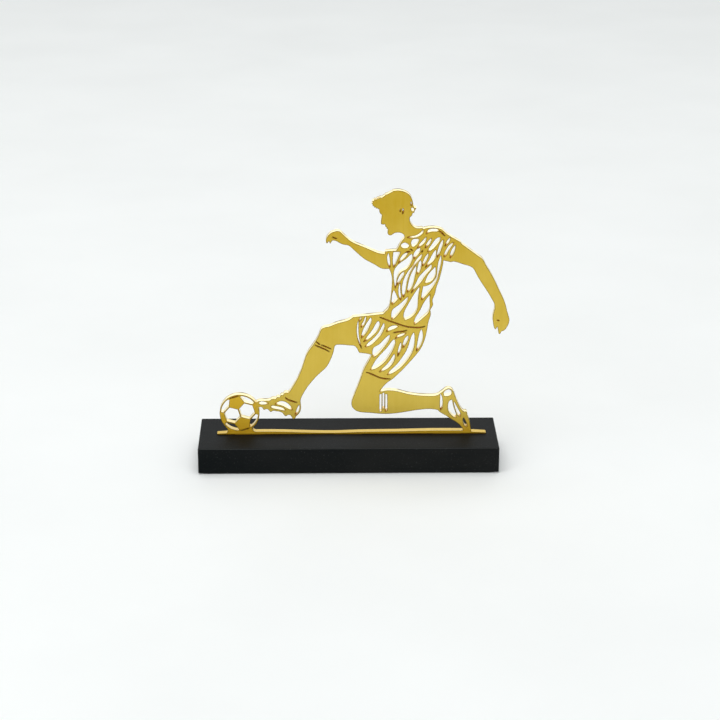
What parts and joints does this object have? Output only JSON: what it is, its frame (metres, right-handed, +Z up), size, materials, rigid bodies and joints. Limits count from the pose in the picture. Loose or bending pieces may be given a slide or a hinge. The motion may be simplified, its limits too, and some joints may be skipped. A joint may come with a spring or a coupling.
{
  "type": "figure trophy",
  "caption": "Flat cut-out figure of a footballer with a ball on a ground strip, tabbed and screwed into a rectangular block with a felt underside.",
  "frame": {"origin": "middle of the block's underside, on the felt face that rests on the table", "axes": "+Z up, +X to the viewer's right along the block and the figure plate, +Y away from the viewer, through the plate's thickness"},
  "size_m": [0.2168, 0.058, 0.1973],
  "materials": {
    "painted_block": "black satin paint on fibreboard",
    "felt": "short-pile felt sheet",
    "gold_plate": "satin gold, lightly brushed",
    "steel_screw": "zinc plated",
    "steel_washer": "zinc plated"
  },
  "bodies": {
    "root": {"base_block": "painted_block", "felt_pad": "felt", "figure_plate": "gold_plate", "fixing_screw_left": "steel_screw", "fixing_screw_centre": "steel_screw", "fixing_screw_right": "steel_screw", "washer_left": "steel_washer", "washer_centre": "steel_washer", "washer_right": "steel_washer"}
  },
  "joints": []
}
